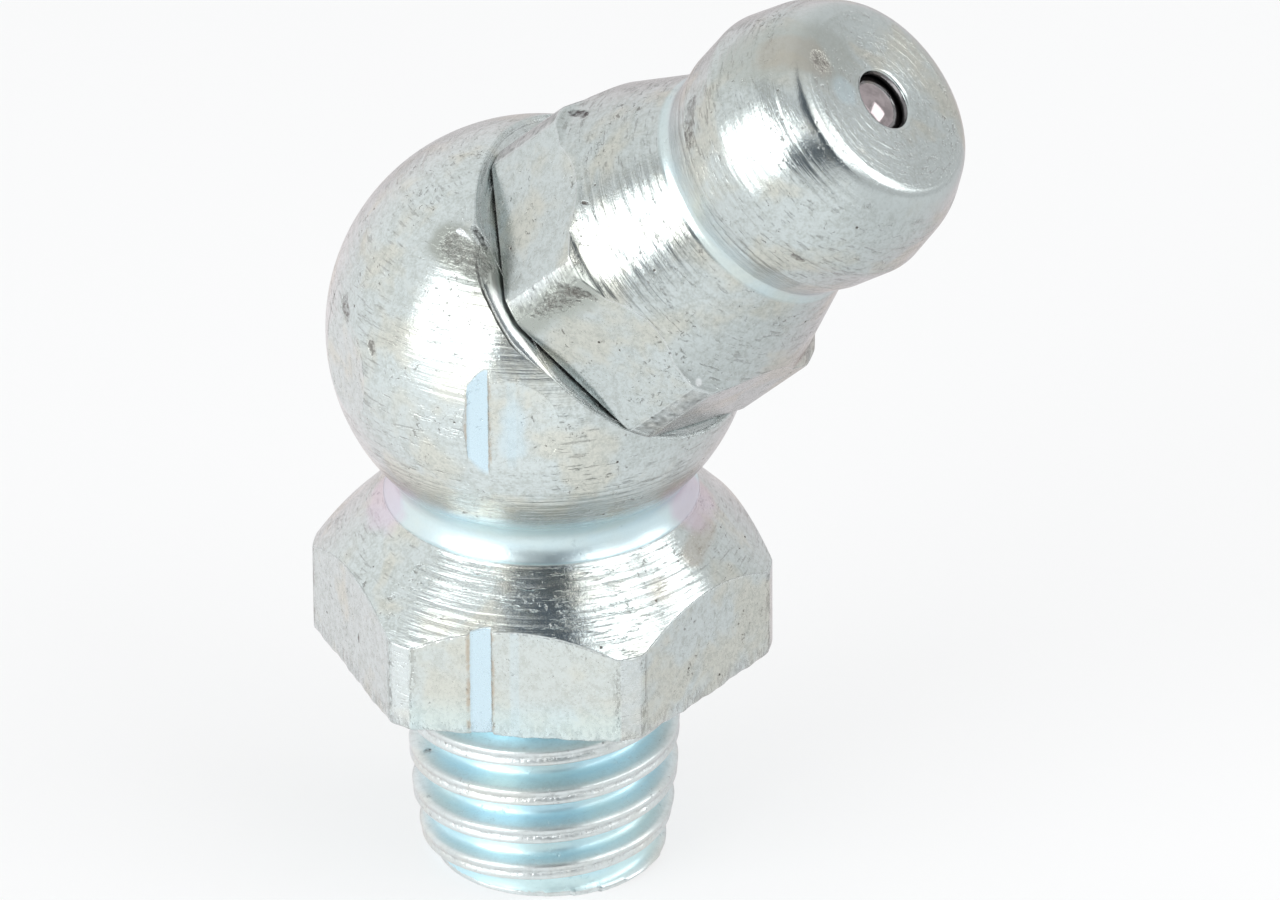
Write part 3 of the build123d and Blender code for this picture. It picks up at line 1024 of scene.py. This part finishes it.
def marked(tree, colour, place, marks, colours):
    """The colour with every mark laid over it, and one mask of all the dark ones."""
    ragged = noise(tree, place, 5.0, 4.0, 0.75)
    soft = plus(tree, 0.2, (noise(tree, place, 1.5, 2.0), 0.6))
    broken = plus(tree, 0.4, (band(tree, noise(tree, place, 9.0, 4.0), 0.4, 0.62), 0.6))
    dents = None
    for start, end, size, name, strength in marks:
        line = Vector(end) - Vector(start)
        step = line / line.length_squared if line.length_squared else line
        dent = name in ("pit", "grime")
        mask = grouped(
            tree, "Mark", Place=place, Ragged=ragged if dent else soft, Start=start, Line=line, Step=step,
            Size=size,
        )["Mask"]
        if dent:
            mask = times(tree, mask, broken)
            dents = mask if dents is None else maths(tree, "MAXIMUM", dents, mask)
        colour = layered(tree, colour, (mask, strength, getattr(colours, name)))
    return colour, dents


def drawn_strips(tree, place, turned):
    """Masks of the clean strip along the bar's front flat, its dark borders, a fainter strip and the flat."""
    wobble = maths(tree, "SUBTRACT", noise(tree, place, 6.0, 3.0), 0.5)
    across = plus(tree, along(tree, place, ACROSS_FRONT), (wobble, 0.05))
    on_front = times(tree, band(tree, along(tree, place, FRONT_FLAT), 4.34, 4.40), inverse(tree, turned))
    low, high = MAIN_STRIP
    main = between(tree, across, low + 0.02, high - 0.02, 0.015)
    border = between(tree, across, low - 0.06, high + 0.06, 0.03)
    border = maths(tree, "SUBTRACT", border, main, clamp=True)
    border = times(tree, border, band(tree, noise(tree, place, 4.0, 3.0), 0.35, 0.6))
    faint = between(tree, across, *FAINT_STRIP, 0.04)
    return *(times(tree, strip, on_front) for strip in (main, border, faint)), on_front


def zinc_material(name, colours, shade, marks):
    """Zinc plating over turned steel. A shade under 1 darkens the whole colour evenly."""
    material, tree, shader = new_material(name)
    place, lathe = place_in_millimetres(tree), attribute(tree, "lathe")
    turned, blue, worn = split(tree, attribute(tree, "finish"))
    grime, pitted, clean = split(tree, attribute(tree, "soil_and_shade"))
    grooved = band(tree, turned, 0.3, 1.0)
    film = grouped(tree, "Zinc film", Place=place, Clean=clean)
    turning = grouped(tree, "Turning marks", Lathe=lathe, Place=place)
    lines = times(tree, band(tree, turning["Lines"], 0.4, 0.66), grooved)
    tears = times(tree, times(tree, turning["Tears"], band(tree, turned, 0.8, 1.0)), inverse(tree, clean))
    dulled = [channel * shade for channel in colours.zinc_dull]
    hue = band(tree, stretched_noise(tree, place, (0.25, 0.25, 1.1), 2.0), 0.42, 0.6)
    film_blue = blend(tree, hue, colours.passivated, colours.passivated_green)
    # upright pits along the turned corners, the lower edge and the thread's seams
    upright = stretched_noise(tree, place, (9.0, 9.0, 3.5), 3.0, 0.65)
    corner_pits = times(tree, band(tree, upright, 0.46, 0.6), pitted)
    colour = layered(
        tree, blend(tree, 1 - shade, film["Color"], (0, 0, 0)),
        (lines, 0.14, dulled),
        (tears, 0.3, colours.pit),
        (blue, 0.9, film_blue),
        (corner_pits, 0.55, colours.pit),
        (worn, 0.6, colours.worn),
    )
    colour, dents = marked(tree, colour, place, marks, colours)
    # Painted shade: joints, bores and hollows turn near black and rougher, with ragged edges.
    shade_and_dirt = band(tree, plus(tree, grime, (noise(tree, place, 6.0, 3.0), 0.6)), 0.6, 1.1)
    main, border, faint, on_front = drawn_strips(tree, place, turned)
    height_on_flat = along(tree, place, (0, 0, 1.0))
    yellowed = times(tree, on_front, between(tree, height_on_flat, 0.9, 2.4, 0.25))
    bluish = times(tree, on_front, between(tree, height_on_flat, -0.5, 0.7, 0.4))
    colour = layered(
        tree, colour,
        (shade_and_dirt, 0.95, colours.grime),
        (yellowed, 0.3, colours.zinc_warm),
        (bluish, 0.35, colours.passivated_green),
        (faint, 0.25, colours.drawn),
        (border, 0.5, colours.rust),
    )
    rough = plus(
        tree, 0.17, (film["Dull"], 0.09), (film["Pits"], 0.25), (lines, 0.04), (blue, 0.17), (worn, 0.16),
        (clean, -0.05), (shade_and_dirt, 0.25), (inverse(tree, grooved), 0.05),
    )
    tangent = add(tree, "ShaderNodeTangent", direction_type="UV_MAP", uv_map="grain")
    feed(tree, shader, {
        "Base Color": blend(tree, main, colour, colours.drawn), "Roughness": rough, "Metallic": 1.0,
        "Specular Tint": (*colours.edge_tint, 1), "Anisotropic": 0.7, "Tangent": tangent.outputs[0],
    })
    height = times(tree, times(tree, turning["Height"], grooved), 0.019 * MM)
    height = plus(tree, height, (film["Height"], 0.008 * MM), (corner_pits, -0.02 * MM), (dents, -0.03 * MM))
    add_bump(tree, shader, height)
    return material


def steel_material(name, colour, roughness, scale):
    """Bearing steel or spring wire with a little grease and fine scratches."""
    material, tree, shader = new_material(name)
    place = place_in_millimetres(tree)
    haze = noise(tree, place, scale, 4.0)
    dark = [channel * 0.7 for channel in colour]
    colour = blend(tree, band(tree, haze, 0.35, 0.65), colour, dark)
    rough = plus(tree, roughness, (haze, 0.06))
    feed(tree, shader, {"Base Color": colour, "Roughness": rough, "Metallic": 1.0})
    scratches = stretched_noise(tree, place, (30.0, 4.0, 9.0), 2.0)
    add_bump(tree, shader, times(tree, scratches, 0.001 * MM))
    return material


# ---------------------------------------------------------------- stage

# Lamps: name, setting of the strength, azimuth and elevation in degrees, width and height in
# millimetres, and lean to the right in degrees.
LAMPS = [
    ("key softbox", "key_strength", -50, 21, 142, 126, 8),
    ("side softbox", "side_strength", 50, 42, 108, 100, 0),
    ("glint lamp", "glint_strength", 88, 28, 72, 72, 0),
]
# Parts of the room, as spans of azimuth and then elevation in degrees, each with its softness
DARK_GAP = (-31, 35, 3)
BESIDE_KEY = (-45, 0, 4), (28, 48, 4)
FLAG = (-95, -45, 4), (44, 52, 2)


def heading(az, el):
    return Vector((math.sin(az) * math.cos(el), -math.cos(az) * math.cos(el), math.sin(el)))


def view_axes(stage):
    """Right, up and back directions of the camera."""
    back = heading(stage.azimuth, stage.elevation)
    right = Vector((math.cos(stage.azimuth), math.sin(stage.azimuth), 0))
    up = back.cross(right)
    rolled = right * math.cos(stage.roll) + up * math.sin(stage.roll)
    return rolled, back.cross(rolled), back


def oriented(right, up, back, place):
    """A world matrix from three axes and a place."""
    turned = Matrix((right, up, back)).transposed().to_4x4()
    return Matrix.Translation(place) @ turned


def set_camera(stage):
    data = bpy.data.cameras.new("camera")
    data.lens = stage.lens
    data.sensor_width = 36.0
    data.sensor_fit = "HORIZONTAL"
    data.clip_start, data.clip_end = 10 * MM, 5.0
    camera = placed("camera", data)
    right, up, back = view_axes(stage)
    camera.matrix_world = oriented(right, up, back, Vector(stage.target) + back * stage.distance)
    bpy.context.scene.camera = camera


def direction(stage, azimuth, elevation):
    """A direction by degrees to the right of the camera's azimuth, and above the floor."""
    return heading(stage.azimuth + math.radians(azimuth), math.radians(elevation))


def softbox(stage, name, strength, azimuth, elevation, width, height, lean):
    """A rectangular lamp that faces the object."""
    towards = direction(stage, azimuth, elevation)
    width, height = width * MM, height * MM
    data = bpy.data.lights.new(name, "AREA")
    data.shape = "RECTANGLE"
    data.size, data.size_y = width, height
    data.energy = getattr(stage, strength) * math.pi * width * height
    lamp = placed(name, data)
    level = Vector((0, 0, 1)).cross(towards).normalized()
    right = Matrix.Rotation(math.radians(-lean), 3, towards) @ level
    place = Vector(stage.target) + towards * stage.lamp_distance
    lamp.matrix_world = oriented(right, towards.cross(right), towards, place)
    lamp.visible_camera = False


def degrees_between(tree, value, low, high, soft):
    return between(tree, value, math.radians(low), math.radians(high), math.radians(soft))


def set_world(stage):
    """White to the camera. Reflections show pale walls and a dark gap between the softboxes."""
    world = bpy.data.worlds.new("studio")
    bpy.context.scene.world = world
    world.use_nodes = True
    tree = world.node_tree
    tree.nodes.clear()
    ray = add(tree, "ShaderNodeLightPath").outputs
    sight = add(tree, "ShaderNodeTexCoord").outputs["Generated"]
    forward, sideways = (along(tree, sight, direction(stage, az, 0)) for az in (0, 90))
    azimuth = maths(tree, "ARCTAN2", sideways, forward)
    elevation = maths(tree, "ARCSINE", split(tree, sight)["Z"])
    walls = plus(tree, 0.92, (along(tree, sight, direction(stage, -110, 0)), 0.2))

    def patch(wide, tall):
        return times(tree, degrees_between(tree, azimuth, *wide), degrees_between(tree, elevation, *tall))

    gap = times(tree, degrees_between(tree, azimuth, *DARK_GAP), band(tree, elevation, 0.1, 0.24))
    gap = times(tree, gap, inverse(tree, patch(*BESIDE_KEY)))
    shown = blend(tree, gap, walls, stage.gap_colour)
    shown = blend(tree, patch(*FLAG), shown, stage.flag_colour)
    colour = blend(tree, ray["Is Glossy Ray"], (1, 1, 1), shown)
    seen = maths(tree, "MAXIMUM", ray["Is Camera Ray"],
                 maths(tree, "MAXIMUM", ray["Is Glossy Ray"], ray["Is Transmission Ray"]))
    strength = plus(tree, stage.room_strength, (seen, 1.0 - stage.room_strength))
    background = add(tree, "ShaderNodeBackground", {"Color": colour, "Strength": strength})
    add(tree, "ShaderNodeOutputWorld", {0: background.outputs[0]})


def set_floor(stage):
    """A pale table under the thread's end, that keeps the object's shadow."""
    form = bmesh.new()
    bmesh.ops.create_grid(form, x_segments=24, y_segments=24, size=0.6)
    mesh = bpy.data.meshes.new("table")
    form.to_mesh(mesh)
    form.free()
    table = placed("table", mesh)
    table.location.z = thread_tip
    material, tree, shader = new_material("pale table")
    feed(tree, shader, {
        "Base Color": (*stage.floor_colour, 1), "Roughness": 0.9, "Specular IOR Level": 0.1,
    })
    ray = add(tree, "ShaderNodeLightPath").outputs
    place = add(tree, "ShaderNodeTexCoord").outputs["Object"]
    # Painted light and shadow: seen in reflections, the table glows at 1.3 on the near side and 0.8 on the
    # far side, where the object's shadow falls.
    painted_shadow_side = band(tree, along(tree, place, direction(stage, 115, 0)), -10 * MM, 15 * MM)
    glossy = ray["Is Glossy Ray"]
    shade = plus(tree, 1.0, (glossy, 0.3), (times(tree, painted_shadow_side, glossy), -0.5))
    glow = add(tree, "ShaderNodeEmission", {"Color": (1, 1, 1, 1), "Strength": shade})
    seen = maths(tree, "MAXIMUM", ray["Is Camera Ray"], ray["Is Transmission Ray"])
    share = plus(tree, times(tree, seen, 0.6), (glossy, 0.5))
    mix = add(tree, "ShaderNodeMixShader", {0: share, 1: shader.outputs[0], 2: glow.outputs[0]})
    feed(tree, tree.nodes["Material Output"], {0: mix.outputs[0]})
    mesh.materials.append(material)


# ---------------------------------------------------------------- operators


def shared_groups(colours):
    """Makes the node groups that both zinc materials use, once."""
    if "Zinc film" not in bpy.data.node_groups:
        zinc_film_group(colours)
        turning_marks_group()
        mark_group()


class NIPPLE_OT_body(bpy.types.Operator):
    """Builds the elbow body with its rolled thread and zinc plating"""

    bl_idname = "nipple.body"
    bl_label = "Elbow body"

    def execute(self, context):
        scene = context.scene
        piece = build_body(scene.nipple_body, scene.nipple_thread, scene.nipple_head)
        shared_groups(scene.nipple_finish)
        piece.data.materials.append(zinc_material("zinc body", scene.nipple_finish, 1.0, BODY_MARKS))
        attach(piece, "fitting")
        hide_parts("elbow_body")
        return {"FINISHED"}


class NIPPLE_OT_head(bpy.types.Operator):
    """Builds the pressed-in nipple head with its zinc plating"""

    bl_idname = "nipple.head"
    bl_label = "Nipple head"

    def execute(self, context):
        scene = context.scene
        piece = build_head(scene.nipple_head)
        shared_groups(scene.nipple_finish)
        piece.data.materials.append(zinc_material("zinc head", scene.nipple_finish, 0.88, HEAD_MARKS))
        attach(piece, "fitting")
        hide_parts("nipple_head")
        return {"FINISHED"}


class NIPPLE_OT_valve(bpy.types.Operator):
    """Gives the check ball its steel and winds the spring behind it"""

    bl_idname = "nipple.valve"
    bl_label = "Check valve"

    def execute(self, context):
        colours = context.scene.nipple_finish
        ball = steel_material("bearing steel", colours.bearing_steel, 0.07, 3.0)
        frame["nodes"]["check_ball"].material_slots[0].material = ball
        sizes = context.scene.nipple_head
        spring = build_spring(sizes)
        spring.data.materials.append(steel_material("spring wire", colours.spring_steel, 0.25, 6.0))
        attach(spring, "fitting")
        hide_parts("check_spring")
        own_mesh(spring)
        return {"FINISHED"}


class NIPPLE_OT_stage(bpy.types.Operator):
    """Sets up the camera, the lamps, the pale room and the table"""

    bl_idname = "nipple.stage"
    bl_label = "Stage"

    def execute(self, context):
        stage = context.scene.nipple_stage
        set_camera(stage)
        for lamp in LAMPS:
            softbox(stage, *lamp)
        set_world(stage)
        set_floor(stage)
        context.scene.view_settings.view_transform = "Standard"
        return {"FINISHED"}


class NIPPLE_PT_panel(bpy.types.Panel):
    """Lists the pieces and their sizes"""

    bl_label = "Grease Nipple"
    bl_idname = "NIPPLE_PT_panel"
    bl_space_type = "VIEW_3D"
    bl_region_type = "UI"
    bl_category = "Grease Nipple"

    def draw(self, context):
        for operator, groups in (
            ("nipple.body", ("nipple_body", "nipple_thread")),
            ("nipple.head", ("nipple_head",)),
            ("nipple.valve", ("nipple_finish",)),
            ("nipple.stage", ("nipple_stage",)),
        ):
            box = self.layout.box()
            box.operator(operator)
            for group in groups:
                settings = getattr(context.scene, group)
                for key in settings.bl_rna.properties.keys():
                    if key not in ("rna_type", "name"):
                        box.prop(settings, key)


settings_groups = {
    "nipple_body": BodySizes,
    "nipple_thread": ThreadSizes,
    "nipple_head": HeadSizes,
    "nipple_finish": FinishColours,
    "nipple_stage": StageSettings,
}
classes = (
    *settings_groups.values(),
    NIPPLE_OT_body,
    NIPPLE_OT_head,
    NIPPLE_OT_valve,
    NIPPLE_OT_stage,
    NIPPLE_PT_panel,
)


def register():
    for item in classes:
        bpy.utils.register_class(item)
    for name, group in settings_groups.items():
        setattr(bpy.types.Scene, name, PointerProperty(type=group))


def unregister():
    for name in settings_groups:
        delattr(bpy.types.Scene, name)
    for item in reversed(classes):
        bpy.utils.unregister_class(item)


def main():
    register()
    bpy.ops.nipple.stage()
    bpy.ops.nipple.body()
    bpy.ops.nipple.head()
    bpy.ops.nipple.valve()
    bpy.context.view_layer.update()


if __name__ == "__main__":
    main()
